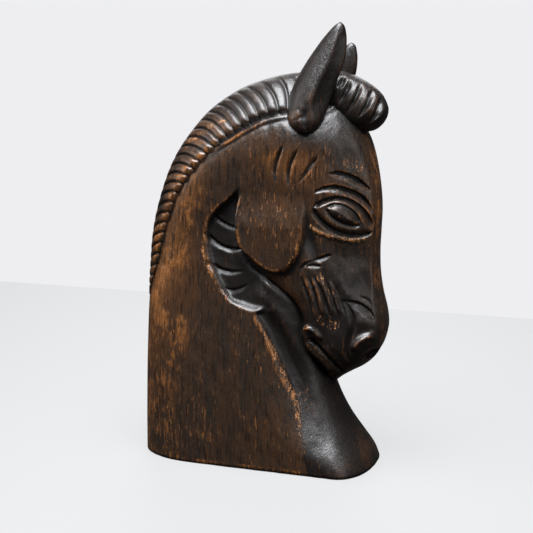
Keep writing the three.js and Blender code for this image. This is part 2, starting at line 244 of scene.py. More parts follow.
# Cuts on the head, each as points, depth, and the width of its left and right walls.
# Drawn towards the face, a line's left wall is its upper one and looks down.
headCuts = [
    ([(52.6, 194.4), (57.8, 194.8), (64.6, 192.6), (70.7, 188.6), (76, 183)], 3.4, 1.1, 3.8),
    ([(43.8, 182), (49.4, 185.2), (56.4, 185.9), (64.7, 183.2), (70.8, 179.5), (75.2, 174),
      (77.5, 168)], 3.6, 1.2, 3.8),
    ([(26, 212.5), (22, 205), (19.5, 196), (20, 187.5)], 2.6, 1.9, 1.5),
    ([(35.5, 210.5), (31, 203), (28.5, 195), (28.5, 185.5)], 2.6, 1.9, 1.5),
    ([(47.3, 206.5), (41.6, 198.7), (35.3, 188)], 2.2, 1.8, 1.3),
    ([(36.2, 130.7), (38.9, 122), (41.6, 114.2), (42.9, 102)], 1.9, 1.5, 1.3),
    ([(39.5, 130.5), (43.6, 123), (45.6, 114), (47, 104)], 2.0, 1.6, 1.1),
    ([(43.5, 131), (48.3, 121), (51.3, 111), (53.3, 103.6)], 2.1, 1.6, 1.2),
    ([(49.8, 129), (53.6, 120.6), (56.2, 112.1), (58.6, 104.6)], 2.0, 1.6, 1.2),
    ([(54.8, 127), (57.6, 119.7), (60, 112.2), (63.4, 104)], 1.4, 1.8, 1.2),
    ([(35.8, 131), (36.8, 134.4), (40.3, 137.7), (44.4, 138.5)], 1.5, 1.2, 0.8),
    ([(38.6, 136.2), (43.6, 136.4), (49.5, 135.6)], 1.9, 0.7, 1.9),
    ([(43.4, 139.2), (49.1, 141.4), (54.6, 143.4)], 1.7, 0.8, 3.0),
    ([(61, 113.4), (65.8, 112.8), (70.9, 111.2), (75.7, 108), (78.9, 104.2), (80.8, 100)],
     2.4, 0.9, 4.6),
    ([(61.4, 113.2), (65.4, 108.8), (68, 102.6), (68.6, 96.6), (66.4, 89.5), (64.8, 83),
      (64.4, 77), (66, 71.5)], 2.9, 1.3, 3.0),
    ([(70.5, 115.6), (75, 114), (78.5, 110)], 1.0, 0.8, 2.2),
]

# Rolls and hollows on the head, each as points, height and width.
headSwells = [
    ([(40.4, 163.2), (44.4, 159.2), (50.8, 156), (58.7, 153.4), (66.4, 151.8), (76, 153)],
     1.0, 1.3),
    ([(38, 128), (41.4, 119), (44, 110), (45, 101)], 0.7, 1.4),
    ([(41.5, 129), (46.2, 120.5), (48.8, 111.5), (50.4, 102)], 1.5, 1.5),
    ([(47, 130), (51.2, 121), (54, 111.6), (56.2, 103)], 1.5, 1.5),
    ([(53, 128), (56, 119), (58.6, 110.5), (61.4, 104)], 1.2, 1.4),
    ([(58, 131), (62, 121), (66, 114)], 0.6, 2.2),
    ([(36, 90.5), (37, 93.6), (39.8, 94.8), (43.4, 93.1), (46.6, 89.8), (49.4, 86)],
     2.6, 1.7),
    ([(50, 84), (54, 78), (58, 71)], 0.9, 2.2),
    ([(36, 86), (37.8, 81.6), (42.4, 76), (47, 70.6), (51, 66), (54.5, 63)], 2.0, 2.8),
    ([(68.6, 79.5), (70, 84.5), (73.6, 88.4), (78, 90.4), (81.5, 89.6)], 3.0, 2.2),
    ([(81, 91), (81.4, 87), (80.6, 83)], 1.0, 1.9),
]

mouthForm = {
    "slit": [(39.6, 88), (43.4, 85.2), (47.8, 80.6), (52, 75), (55.8, 68.8), (59, 62)],
    "slitDepth": 3.8,
    "slitWalls": (1.5, 1.7),
    "hole": [(73.8, 73.4), (76.8, 77.2), (81, 81.2)],    # the slot of the nostril
    "holeDepth": 9.0,
    "holeWall": 2.1,
}

# Round swellings, and hollows where the height is negative: height, centre, radii and turn.
headSpots = [
    (1.7, 62, 167, 15, 10),            # the mound round the eye
    (-1.6, 66, 141, 13, 9),            # under the eye
    (-2.4, 42, 150, 3.4, 12, 14),      # in front of the cheek
    (-1.8, 71, 124, 6, 9),             # beside the nose
    (-1.0, 54, 98, 8, 6),              # above the mouth
    (2.6, 74.5, 82.5, 6.5, 7.5),       # the nostril's wing
    (1.8, 74.5, 100, 5.5, 5),          # the nose above it
    (-2.6, 75.4, 81.5, 2.4, 5.0, -45), # the nostril's pit
    (1.6, 57, 84, 7, 8),               # the upper lip
    (-2.0, 41.6, 86.8, 2.0, 1.5),      # the corner of the mouth
]

tuftCuts = [
    ([(-25, 168.6), (-21.6, 164.3), (-17.5, 161.2), (-10.6, 158.3), (-6, 158)], 1.6),
    ([(-29, 155), (-26.3, 151.6), (-22.2, 147.8), (-15.9, 144.9), (-9, 144), (-2, 145)], 2.4),
    ([(-28, 136.8), (-24.4, 133.3), (-18.1, 130.3), (-11.1, 129.4), (-3, 130)], 2.4),
    ([(-20, 121), (-13, 117.3), (-6, 118.5), (0, 122)], 1.2),
]

neckForm = {
    "tuftWalls": (0.9, 3.2),   # widths of the walls above and below a tuft cut
    "roll": [(2, 122), (9, 115), (18, 108), (26, 97), (31, 84), (40, 68)],
    "rollHeight": 1.4,
    "rollWidth": 4.5,
    "furrow": [(23, 84), (30, 68), (38, 52)],
    "furrowDepth": 0.7,
    "furrowWall": 2.5,
    "grooveWidth": 3.0,        # shadow groove along the jaw
    "underMane": [(-1.5, 1.2, 1.2)],             # height, distance and width of its lines
    "underManeLow": [(0.8, 3.9, 1.0), (-0.8, 6.0, 0.9)],
}

maneForm = {
    "start": 0.3404,           # share of the crest where the mane begins
    "end": 0.999,
    "period": 0.02468,         # share of the crest from one cut to the next
    "cutDepth": 1.7,
    "lift": 3.2,               # how far the mane stands above the neck
    "sweep": 26.0,             # how far the cuts trail from the border to the crest
    "width": [(0.33, 3), (0.44, 10.5), (0.51, 13.5), (0.58, 15.8), (0.63, 18.8), (0.685, 21),
              (0.757, 22.6), (0.84, 22), (0.9, 20.4), (1, 20)],
    "columns": 26,
    "phases": [0.0, 0.06, 0.13, 0.24, 0.42, 0.60, 0.74, 0.83, 0.92],   # rows gather at a cut
    "bevel": 0.13,             # share of a period that the narrow lower wall takes
    "wall": 0.76,              # share of a period where the steep upper wall begins
    "crown": 0.3,              # swelling between two cuts
    "tuck": -1.2,              # how far the border dips into the neck
    "rootDepth": 6.0,          # how far inside the neck a row closes
}
sizeLines["maneWidth"] = smoothLine([(v, s) for s, v in maneForm["width"]], 80)


# Ridges and grooves beside the mane: bell curves of the distance to its border.
def besideMane(border, ridges):
    return sum(height * np.exp(-((border - place) / width) ** 2)
               for height, place, width in ridges)


# Half the carving's thickness at x and z. Fine gives the small cuts as well.
# Neck and head are each a full side thickness that eases down to the chest or the face,
# joined by a step along the jaw, and both round off towards the crest.
def halfThickness(x, z, fine=True):
    f = bodyForm
    backFar, backShare = fromLine(lines["crest"], x, z)
    backFar = np.abs(backFar)
    back = rounded(backFar / sizeAt("backReach", z), f["sectionPower"])
    chestFar = np.maximum(0, fromLine(lines["chest"], x, z)[0])
    faceFar = np.maximum(0, fromLine(lines["face"], x, z)[0])
    jawFar = fromLine(lines["jaw"], x, z)[0]

    neckFull, chestWide = sizeAt("neckSide", z), sizeAt("chestHalf", z)
    neck = (chestWide * rounded(chestFar / sizeAt("chestRound", z), f["sectionPower"])
            + (neckFull - chestWide)
            * (1 - (1 - np.clip(chestFar / sizeAt("chestReach", z), 0, 1)) ** f["neckFall"]))
    throatFar, throatShare = fromLine(lines["throat"], x, z, 60)
    inThroat = ease(0, 0.1, throatShare) * (1 - ease(0.5, 1, throatShare)) * (throatFar < farAway)
    neck -= f["throatDepth"] * ease(-0.5, 2.5, throatFar) * (1 - ease(3, 14, throatFar)) * inThroat
    tuftFar, tuftShare = fromLine(lines["tuft"], x, z, 60)
    inTuft = ease(0, 0.08, tuftShare) * (1 - ease(0.86, 1, tuftShare)) * (tuftFar < farAway)
    # The hollow's wall is steep behind and a broad bevel below.
    neck -= f["tuftDepth"] * ease(-0.4, 0.9 + 3.4 * ease(0.62, 0.74, tuftShare), tuftFar) * inTuft

    headFull, faceWide = sizeAt("headSide", z), sizeAt("faceHalf", z)
    head = (faceWide * rounded(faceFar / sizeAt("faceRound", z), f["headPower"])
            + (headFull - faceWide)
            * (1 - (1 - np.clip(faceFar / sizeAt("faceReach", z), 0, 1)) ** f["headFall"]))
    cheekFar = -fromLine(lines["cheek"], x, z)[0]
    onCheek = ease(-1.5, 1.1, cheekFar) * ease(182, 158, z)
    head += f["cheekStep"] * onCheek
    # The head's edge rolls down to the jaw, broadly under the cheek and sharply behind it.
    low = ease(152, 134, z)
    roll, rollWidth = (a + (b - a) * low for a, b in (f["jawRoll"], f["jawRollWidth"]))
    head -= roll * (1 - rounded(jawFar / rollWidth)) * ease(190, 176, z)

    soft = 0.9 + 17 * ease(172, 200, z)
    inHead = ease(-soft, soft, jawFar)
    flow = ease(172, 195, z)
    if not fine:
        return (neck + (head - neck) * inHead) * back

    # Neck side: the jaw's shadow groove, the tuft's cuts and the line below the mane.
    n = neckForm
    neck -= ((0.9 + 0.9 * ease(118, 135, z)) * np.clip(1 + jawFar / n["grooveWidth"], 0, 1) ** 1.5
             * ease(186, 172, z) * ease(56, 70, z))
    for points, depth in tuftCuts:
        neck -= gouge(x, z, points, depth, *n["tuftWalls"], taper=0.3)
    neck += swell(x, z, n["roll"], n["rollHeight"], n["rollWidth"])
    neck -= gouge(x, z, n["furrow"], n["furrowDepth"], n["furrowWall"], n["furrowWall"], taper=0.4)
    border = backFar - sizeAt("maneWidth", backShare)
    neckLine = (ease(0.36, 0.46, backShare) * besideMane(border, n["underMane"])
                + ease(0.60, 0.68, backShare) * besideMane(border, n["underManeLow"]))

    # Head side: the eye, the cuts, the rolls, the round forms and the mouth.
    inward = ease(1.0, 4.5, faceFar)
    relief = eyeRelief(x, z)
    for points, depth, above, below in headCuts:
        relief -= gouge(x, z, points, depth, above, below, taper=0.3)
    for points, height, width in headSwells:
        relief += swell(x, z, points, height, width)
    for height, *place in headSpots:
        relief += height * spot(x, z, *place)
    m = mouthForm
    relief -= gouge(x, z, m["slit"], m["slitDepth"], *m["slitWalls"], taper=0.12)
    head += np.where(inward > 0, relief * inward, 0)
    side = neck + (head - neck) * inHead + neckLine * (1 - inHead * (1 - flow))
    side = side * back + facets(x, z) * ease(2, 8, np.minimum(backFar, faceFar + chestFar + 2))
    # The slot of the nostril runs in from the front edge.
    return side - gouge(x, z, m["hole"], m["holeDepth"], m["holeWall"], m["holeWall"],
                        taper=0.35, power=0.5)


bodyGrid = {
    "rows": [(0, 50, 24), (50, 62, 18), (62, 122, 82), (122, 150, 34), (150, 198, 72),
             (198, 240, 32), (240, 252.5, 14)],      # from, to and how many
    "top": 252.6,
    "columns": {-1: (16, 62, 76), 1: (14, 44, 52)},  # crest, neck and head, for each side
    "neckShare": 0.27,         # share of the breadth where the crest's columns end
    "headShare": 0.68,
    "leastHalf": 0.25,
}


# Heights of the body's level rows, closest together at the muzzle and the eye.
def rowPlaces():
    spans = [np.linspace(a, b, n, endpoint=False) for a, b, n in bodyGrid["rows"]]
    return np.concatenate(spans + [[bodyGrid["top"]]])


# Shares of the breadth from crest to face: they crowd towards both edges.
def columnShares(back, middle, front):
    a, b = bodyGrid["neckShare"], bodyGrid["headShare"]
    crest = a * (1 - np.cos(np.linspace(0, math.pi / 2, back, endpoint=False)))
    neck = np.linspace(a, b, middle, endpoint=False)
    head = b + (1 - b) * np.sin(np.linspace(0, 1, front)) / math.sin(1)
    return np.concatenate([crest, neck, head])


# One side of the body: x runs from the crest to the chest or the face, and y is the thickness.
def bodySide(z, sign):
    shares = columnShares(*bodyGrid["columns"][sign])
    crest, chest, face = lines["crest"], lines["chest"], lines["face"]
    start = np.interp(z, crest[:, 1], crest[:, 0])
    end = np.where(z < bodyForm["chinHeight"], np.interp(z, chest[:60, 1], chest[:60, 0]),
                   np.interp(z, face[:, 1], face[:, 0]))
    x = start[:, None] + (end - start)[:, None] * shares[None, :]
    zz = np.repeat(z[:, None], len(shares), 1)
    half = halfThickness(x.ravel(), zz.ravel()).reshape(x.shape)
    y = np.maximum(half, bodyGrid["leastHalf"])
    y[:, 0] = y[:, -1] = 0
    return np.stack([x, y * sign, zz], -1)


# Faces between rings of points, each ring joined to the next.
def ringFaces(rows, count):
    index = np.arange(rows * count).reshape(rows, count)
    turned = np.roll(index, -1, 1)
    quads = np.stack([index[:-1], turned[:-1], turned[1:], index[1:]], -1).reshape(-1, 4)
    return index, quads.tolist()


# A closed mesh from two height fields that share their first and last columns.
def bodyMesh():
    z = rowPlaces()
    right, left = bodySide(z, -1), bodySide(z, 1)
    rings = np.concatenate([right, left[:, -2:0:-1]], 1)
    index, faces = ringFaces(*rings.shape[:2])
    faces.append(index[0][::-1].tolist())
    faces.append(index[-1].tolist())
    return rings.reshape(-1, 3), faces


# Rings of points along a path, closed by a fan at each end.
def ringMesh(rings):
    index, faces = ringFaces(*rings.shape[:2])
    ends = rings[[0, -1]].mean(1)
    first, last = index.size, index.size + 1
    turned = np.roll(index, -1, 1)
    faces += [(first, int(b), int(a)) for a, b in zip(index[0], turned[0])]
    faces += [(last, int(a), int(b)) for a, b in zip(index[-1], turned[-1])]
    return np.vstack([rings.reshape(-1, 3), ends]), faces


# The distance run along a line at each of its points, and its direction there.
def runAlong(line):
    run = np.concatenate([[0], np.cumsum(np.linalg.norm(np.diff(line, axis=0), axis=1))])
    slope = np.gradient(line, run, axis=0)
    return run, slope / np.linalg.norm(slope, axis=1)[:, None]


# The mane: a band laid over the crest, lifted off the neck, with saw-tooth cuts whose upper
# wall is steep and looks down, and whose lower wall is a narrow bevel that looks up. The cuts
# trail back towards the crest, where they fade out.
def maneMesh():
    f = maneForm
    crest = smoothLine(bodyForm["crest"], 1200)
    run, slope = runAlong(crest)
    share = run / run[-1]
    count = (f["end"] - f["start"]) / f["period"]
    cut = (np.arange(math.ceil(count))[:, None] + np.array(f["phases"])[None, :]).ravel()
    cut = np.append(cut[cut < count - 0.03], count)
    along = f["start"] + f["period"] * cut
    across = np.concatenate([np.linspace(0, 0.95, f["columns"] - 3), [0.975, 0.992, 1.03]])
    s, a = np.meshgrid(along, across, indexing="ij")
    trail = f["sweep"] * (1 - 0.62 * ease(0.9, 1.0, s)) * ease(0.3, 0.5, s)
    at = s - trail * np.clip(1 - a, 0, 0.72) ** 1.6 / run[-1]
    at = np.clip(at, 0.3, 0.9995)
    mx, mz = np.interp(at, share, crest[:, 0]), np.interp(at, share, crest[:, 1])
    rx, rz = np.interp(at, share, slope[:, 0]), np.interp(at, share, slope[:, 1])
    depth = 0.3 + sizeAt("maneWidth", at) * (1 - np.cos(a * math.pi / 2))
    x, z = mx + rz * depth, mz - rx * depth
    half = halfThickness(x.ravel(), z.ravel(), fine=False).reshape(x.shape)
    lift = f["lift"] * ease(0.30, 0.46, at)
    phase = (cut % 1.0)[:, None] + 0 * a
    bevel, wall = f["bevel"], f["wall"]
    tooth = np.maximum(np.clip(1 - phase / bevel, 0, 1),
                       np.clip((phase - wall) / (1 - wall), 0, 1))
    shown = ease(0.16, 0.5, a) * ease(0.335, 0.40, s)
    strength = np.minimum(f["cutDepth"], lift + 0.2) * shown
    crown = f["crown"] * np.sin(np.clip((phase - bevel) / 0.65, 0, 1) * math.pi) * shown
    rise = lift - strength * tooth + crown
    rise = np.where(a > 1, f["tuck"], rise * (1 - 0.3 * ease(0.93, 1.0, a)))
    lean = np.minimum(1, a * 1.1) * math.pi / 3
    y = np.where(a == 0, 0, half + rise * np.sin(lean))
    x, z = x - rz * rise * np.cos(lean), z + rx * rise * np.cos(lean)
    # The row closes through one point deep inside the neck.
    inX, inZ = mx + rz * (depth + f["rootDepth"]), mz - rx * (depth + f["rootDepth"])
    k = f["columns"] - 4
    inside = np.stack([inX[:, k], 0 * inX[:, k], inZ[:, k]], -1)[:, None]
    rings = np.concatenate([np.stack([x, -y, z], -1), inside,
                            np.stack([x, y, z], -1)[:, :0:-1]], 1)
    return ringMesh(rings)


forelockForm = {
    "path": [(34, 240), (48, 243), (60, 239), (69.5, 232), (77.5, 222)],
    "halfHeight": 14.5,
    "halfBreadth": 16.0,
    "cuts": [
        [(57.5, 254), (56.4, 251), (54.7, 247.4)],
        [(61.2, 252), (60.6, 247.9), (58.2, 242.5), (55.2, 236)],
        [(67.6, 249.5), (67.4, 245.6), (64.7, 238.8), (59.8, 230.8)],
        [(74.4, 245.5), (74.6, 241.8), (72.8, 236), (68.2, 229.2)],
        [(79.6, 242), (80.3, 237.9), (78.6, 231.7), (74, 225)],
        [(83.6, 239), (85.0, 235.5), (84.6, 231), (82, 225.5)],
    ],
    "cutDepth": 3.6,
    "cutWalls": (2.6, 1.4),
    "squareness": 0.85,        # below 1 the oval section is squarer
    "noseStart": 0.66,         # share of the path where it starts to close
    "rows": 96,
    "columns": 72,
}


# The forelock: oval sections carried along a bent path, closing to a blunt nose.
def forelockMesh():
    f = forelockForm
    columns, closing = f["columns"], 1 - f["noseStart"]
    path = smoothLine(f["path"], 400)
    run, slope = runAlong(path)
    t = 1 - (1 - np.linspace(0, 1, f["rows"])) ** 1.35
    mx, mz = (np.interp(t * run[-1], run, path[:, k])[:, None] for k in (0, 1))
    rx, rz = (np.interp(t * run[-1], run, slope[:, k])[:, None] for k in (0, 1))
    closed = np.clip((t - f["noseStart"]) / closing, 0, 1) ** 2.2
    end = np.sqrt(np.maximum(0.004, 1 - closed))[:, None]
    angle = np.arange(columns) / columns * 2 * math.pi
    squash = lambda v: np.sign(v) * np.abs(v) ** f["squareness"]
    up, out = squash(np.sin(angle))[None, :], squash(np.cos(angle))[None, :]
    height, breadth = f["halfHeight"] * end * up, f["halfBreadth"] * end * out
    x, z = mx - rz * height, mz + rx * height
    y = breadth + 0 * x
    depth = 0 * x
    for points in f["cuts"]:
        depth += gouge(x.ravel(), z.ravel(), points, 1.0, *f["cutWalls"], 0.3).reshape(x.shape)
    # The cuts are on the sides and fade out over the crown.
    depth = np.minimum(depth, 1) * ease(0.12, 0.45, np.abs(np.cos(angle)))[None, :]
    inset = f["cutDepth"] * depth * ease(0, 0.3, end - 0.1)
    length = np.hypot(f["halfHeight"] * out, f["halfBreadth"] * up) + 1e-6
    nUp, nOut = f["halfBreadth"] * up / length, f["halfHeight"] * out / length
    x, z = x + rz * nUp * inset, z - rx * nUp * inset
    y = y - nOut * inset
    return ringMesh(np.stack([x, y, z], -1))


earForm = {
    "foot": 218.0,
    "tips": {-1: 287.0, 1: 275.0},
    "setBack": {-1: 0.0, 1: 3.5},
    "back": [(218, 38), (219, 35.5), (221, 31.5), (224, 28), (228, 25.8), (232, 25), (240, 25.2),
             (251, 29), (261, 34.5), (270, 40.5), (279, 47.5), (285, 53.5), (287, 56.5)],
    "front": [(218, 40), (219, 42), (221, 44.3), (225, 47), (229.3, 49), (234, 50.6), (240, 52.4),
              (251, 56), (261, 59.8), (270, 61.3), (279, 61.2), (285, 59.6), (287, 57.5)],
    "out": [(218, 2), (219, 5), (221, 7.8), (225, 10), (231, 11.2), (240, 10.8), (250, 9.8),
            (260, 8.3), (275, 5.6), (285, 2.6), (287, 1)],
    "centre": [(218, 27.5), (230, 26), (245, 24), (265, 21), (287, 19)],
    "ridge": 70,               # degrees round from the front edge to the ridge
    "slit": [(42.4, 241), (41.1, 235), (40, 230), (40, 225), (41.4, 220)],
    "slitDepth": 4.2,
    "curl": [(32.6, 234.9), (36, 234.6), (37.4, 231.3), (36, 228.3), (33, 227.8)],
    "curlDepth": 1.3,
    "facets": [(0, 115, 0.42), (280, 360, 1.15)],   # from, to and amount, beyond the ridge
    "rows": 84,
    "columns": 48,
}


# An ear: level rings between its back and front edges. The stretch from the ridge to the back
# is flattened towards a straight facet, the stretch in front of the ridge is hollowed past
# one, and two lobes at the foot are parted by a slit.
def earMesh(side):
    f = earForm
    rows, columns = f["rows"], f["columns"]
    z = np.linspace(0, 1, rows)
    z = (f["foot"] + (f["tips"][-1] - f["foot"]) * (0.5 * z + 0.25 * (1 - np.cos(math.pi * z))))
    line = {k: smoothLine([(v, h) for h, v in f[k]], 120)
            for k in ("back", "front", "out", "centre")}
    back, front, out, centre = (np.interp(z, line[k][:, 1], line[k][:, 0])[:, None]
                                for k in ("back", "front", "out", "centre"))
    turn = f["ridge"] + np.arange(columns) / columns * 360
    reach = np.ones((rows, columns))
    shown = (ease(224, 240, z) * ease(287, 276, z))[:, None]
    for low, high, amount in f["facets"]:
        middle, half = f["ridge"] + (low + high) / 2, math.radians(high - low) / 2
        away = np.radians(turn - middle)
        chord = math.cos(half) / np.maximum(np.cos(away), 0.1)
        inSpan = (np.abs(away) < half)[None, :]
        reach -= np.where(inSpan, amount * (1 - chord)[None, :], 0) * shown
    angle = np.radians(turn)[None, :]
    x = (back + front) / 2 + (front - back) / 2 * np.cos(angle) * reach
    y = centre + out * np.sin(angle) * reach
    # The foot's slit and curl are cut into the outer side.
    zz = (z[:, None] + 0 * x).ravel()
    outer = ease(0.0, 0.5, np.sin(angle))
    cuts = (gouge(x.ravel(), zz, f["slit"], f["slitDepth"], 1.7, 2.4, 0.45)
            + gouge(x.ravel(), zz, f["curl"], f["curlDepth"], 1.0, 1.0, 0.3))
    y -= outer * cuts.reshape(x.shape)
    squeeze = (f["tips"][side] - f["foot"]) / (f["tips"][-1] - f["foot"])
    level = f["foot"] + (z[:, None] - f["foot"]) * squeeze + 0 * x
    rings = np.stack([x - f["setBack"][side], side * y, level], -1)
    return ringMesh(rings if side > 0 else rings[:, ::-1])


# A piece from points in millimetres.
def makeObject(name, points, faces):
    mesh = bpy.data.meshes.new(name)
    mesh.from_pydata((np.asarray(points) * toMetres).tolist(), [], faces)
    mesh.update()
    piece = bpy.data.objects.new(name, mesh)
    bpy.context.collection.objects.link(piece)
    return piece


# Joins the forms into one closed solid, as they are cut from one block.
def joinForms(main, others):
    bpy.context.view_layer.objects.active = main
    for other in others:
        step = main.modifiers.new("join", "BOOLEAN")
        step.operation = "UNION"
        step.solver = "MANIFOLD"
        step.object = other
        bpy.ops.object.modifier_apply(modifier=step.name)
        bpy.data.objects.remove(other, do_unlink=True)


print("carving the forms")
horse = makeObject("carvedHorseHead", *bodyMesh())
joinForms(horse, [makeObject(name, *form) for name, form in (
    ("mane", maneMesh()), ("forelock", forelockMesh()),
    ("earRight", earMesh(-1)), ("earLeft", earMesh(1)))])
print("joined:", len(horse.data.polygons), "faces,",
      sum(len(p.vertices) - 2 for p in horse.data.polygons), "triangles")


# Weighted steps of averaging each point with its neighbours, over whole arrays.
def smoothed(values, edges, count, steps):
    degree = np.bincount(edges.ravel(), minlength=count)
    for _ in range(steps):
        total = np.zeros_like(values)
        for k in range(values.shape[1]):
            total[:, k] = (np.bincount(edges[:, 0], values[edges[:, 1], k], count)
                           + np.bincount(edges[:, 1], values[edges[:, 0], k], count))
        values = 0.35 * values + 0.65 * total / degree[:, None]
    return values


# The mesh's points in millimetres, its edges and its normals, as whole arrays.
def readMesh(mesh):
    points = np.empty(len(mesh.vertices) * 3)
    mesh.vertices.foreach_get("co", points)
    edges = np.empty(len(mesh.edges) * 2, int)
    mesh.edges.foreach_get("vertices", edges)
    normals = np.empty(len(mesh.vertices) * 3)
    mesh.vertices.foreach_get("normal", normals)
    return points.reshape(-1, 3) / toMetres, edges.reshape(-1, 2), normals.reshape(-1, 3)


def keepValue(mesh, name, values):
    mesh.attributes.new(name, "FLOAT", "POINT").data.foreach_set("value", values.astype(np.float32))


# Averaging for the worn edges, and for the painted shade that darkens the hollows.
wearAndShadeForm = {
    "edgeReach": 5,            # averaging steps for the worn edges
    "shadeReach": 40,         # averaging steps for the painted shade in the hollows
    "fullyWorn": 0.25,         # how far an edge stands out where it is fully worn
    "fullyShaded": 0.9,          # how far a hollow sinks where its painted shade is full
}


# Where the stain is thin, thick or chipped: lines as points, strength and width, and round
# places as strength, x, z and the two radii.
stainForm = {
    "neckWarm": [
        ([(-72, 60), (-66, 110), (-58, 145), (-48, 172), (-34, 195), (-14, 214)], 1.0, 13, 0.3),
        ([(-66, 20), (-60, 80), (-48, 130), (-34, 165)], 0.35, 18, 0.2),
        ([(-20, 30), (-14, 70), (-10, 105)], 0.12, 26, 0.2),
        ([(-84, -30), (-81, 40), (-79, 100), (-74, 140)], 0.35, 14, 0.1),
    ],
    "headWarm": [
        ([(6, 138), (16, 125), (25, 119), (32, 112), (35, 103)], 0.75, 5, 0.2),
        ([(14, 210), (18, 190), (18, 165), (22, 142)], 0.4, 20, 0.1),
        ([(40, 214), (44, 196), (48, 180)], 0.5, 14, 0.3),
    ],
    "warmSpots": [(0.35, 56, 178, 14, 4), (0.5, 84, 160, 5, 60), (0.45, 84, 200, 8, 24),
                  (0.3, 50, 168, 6, 6), (0.4, 24, 204, 18, 12)],
    "darkSpots": [(0.8, 62, 118, 17, 34), (0.6, 60, 92, 26, 20), (0.5, 44, 148, 6, 16),
                  (0.5, 60, 205, 12, 16), (0.45, 62, 168, 18, 12), (0.7, 44, 224, 28, 12)],
    "tuftDark": (100, 106),    # heights between which the tuft and the throat grow darker
    "throatDark": (118, 108),
    "crownDark": (212, 240),
    "crownAmount": 0.5,
    "forelockDark": {"heights": (222, 236), "along": (36, 50)},
    "maneDark": 0.7,
    "chipped": [
        ([(40.4, 163.2), (44.4, 159.2), (50.8, 156), (58.7, 153.4), (66.4, 151.8),
          (74, 152.6)], 1.8, 1.2, 0.08),
        ([(20, 131), (27, 134), (33, 141.5), (36.5, 151)], 1.2, 1.2, 0.2),
        ([(9, 99), (12, 93), (17, 80), (24, 65), (31, 49), (37, 30), (40, 16)], 0.8, 1.8, 0.2),
        ([(-52, 212), (-40, 214), (-24, 224), (-6, 228)], 0.6, 2.5, 0.2),
        ([(37, 90), (38, 94.5), (42, 96)], 1.3, 1.6, 0.2),
        ([(58.6, 167.6), (61, 168.2), (63.4, 166.6)], 0.8, 1.0, 0.2),
        ([(44, 104), (50, 101.5), (56, 98), (62, 97)], 0.7, 4.5, 0.2),
        ([(52, 88), (56, 84), (60, 82)], 0.35, 4, 0.2),
        ([(34.4, 90), (35, 84.5), (39, 77.8), (44.2, 71.6), (48, 65)], 1.1, 1.1, 0.1),
        ([(58, 203), (66, 200), (73, 195)], 0.5, 5, 0.2),
        ([(30, 60), (38, 44), (44, 34)], 0.4, 6, 0.2),
        ([(-29, 160), (-30, 148), (-28, 136), (-22, 122)], 0.7, 1.8, 0.2),
        ([(-56, 50), (-54, 30), (-53, 10)], 0.4, 5, 0.2),
        ([(44, 134), (52, 122), (60, 112)], 0.5, 6, 0.2),
    ],
}


# How far each point stands out of the averaged surface: worn where it does, and given painted shade
# where it sinks into a hollow.
def paintWearStainAndShade(mesh):
    points, edges, normals = readMesh(mesh)
    count = len(points)
    fine = smoothed(points, edges, count, wearAndShadeForm["edgeReach"])
    broad = smoothed(fine, edges, count, wearAndShadeForm["shadeReach"])
    proud = ((points - fine) * normals).sum(1)
    sunk = ((broad - points) * normals).sum(1)
    proud = smoothed(proud[:, None], edges, count, 2)[:, 0]
    keepValue(mesh, "wornEdge", np.clip(proud / wearAndShadeForm["fullyWorn"], 0, 1))
    # Painted shade: the deeper a point lies in a hollow, the darker its colour is painted.
    keepValue(mesh, "paintedShade", np.clip(sunk / wearAndShadeForm["fullyShaded"], 0, 1))
    x, z = points[:, 0], points[:, 2]
    jawFar = fromLine(lines["jaw"], x, z)[0]
    tuftFar = fromLine(lines["tuft"], x, z, 80)[0]
    stain = stainForm
    inNeck, inHead = ease(1, -1, jawFar), ease(-1, 1, jawFar)
    blend = lambda parts: sum(parts, np.zeros(count))
    # Warm where hands and light have thinned the stain: the neck beside the mane, the cheek,
    # the temple and the roll of the jaw.
    warm = blend(swell(x, z, *w) for w in stain["neckWarm"]) * inNeck
    warm += blend(swell(x, z, *w) for w in stain["headWarm"]) * inHead
    warm += blend(a * spot(x, z, cx, cz, rx, rz) for a, cx, cz, rx, rz in stain["warmSpots"])
    # Dark in the tuft, the throat, the muzzle and the forelock.
    dark = ease(-1, 2, tuftFar) * inNeck * (tuftFar < farAway) * ease(*stain["tuftDark"], z)
    dark += ease(-1, 4, fromLine(lines["throat"], x, z)[0]) * inNeck * ease(*stain["throatDark"], z)
    dark = np.clip(dark, 0, 1)
    dark += blend(a * spot(x, z, cx, cz, rx, rz) for a, cx, cz, rx, rz in stain["darkSpots"])
    front = stain["forelockDark"]
    dark += ease(*front["heights"], z) * ease(*front["along"], x)
    dark += stain["crownAmount"] * ease(*stain["crownDark"], z)
    backFar, backShare = fromLine(lines["crest"], x, z)
    dark += stain["maneDark"] * ease(1, -1, np.abs(backFar) - sizeAt("maneWidth", backShare)
                                         ) * (backShare > maneForm["start"])
    chips = blend(swell(x, z, *w) for w in stain["chipped"])
    keepValue(mesh, "warm", np.clip(warm, 0, 1))
    keepValue(mesh, "dark", np.clip(dark, 0, 1))
    keepValue(mesh, "chipped", np.clip(chips, 0, 1))


paintWearStainAndShade(horse.data)
print("worn edges, hollows and stain placed")


# A shader socket that can be added, taken away and multiplied in Python.
class Link:
    def __init__(self, tree, socket):
        self.tree, self.socket = tree, socket

    def math(self, operation, *others):
        return self.tree.node("ShaderNodeMath", {"operation": operation}, [self, *others])

    def __add__(self, other):
        return self.math("ADD", other)

    def __radd__(self, other):
        return self.math("ADD", other)

    def __sub__(self, other):
        return self.math("SUBTRACT", other)

    def __rsub__(self, other):
        return self.tree.node("ShaderNodeMath", {"operation": "SUBTRACT"}, [other, self])

    def __mul__(self, other):
        return self.math("MULTIPLY", other)

    def __rmul__(self, other):
        return self.math("MULTIPLY", other)

    def clamped(self):
        return self.tree.node("ShaderNodeClamp", {}, [self])

    def ranged(self, low, high):
        return self.tree.node("ShaderNodeMapRange", {"interpolation_type": "SMOOTHSTEP"},
                              [self, low, high])


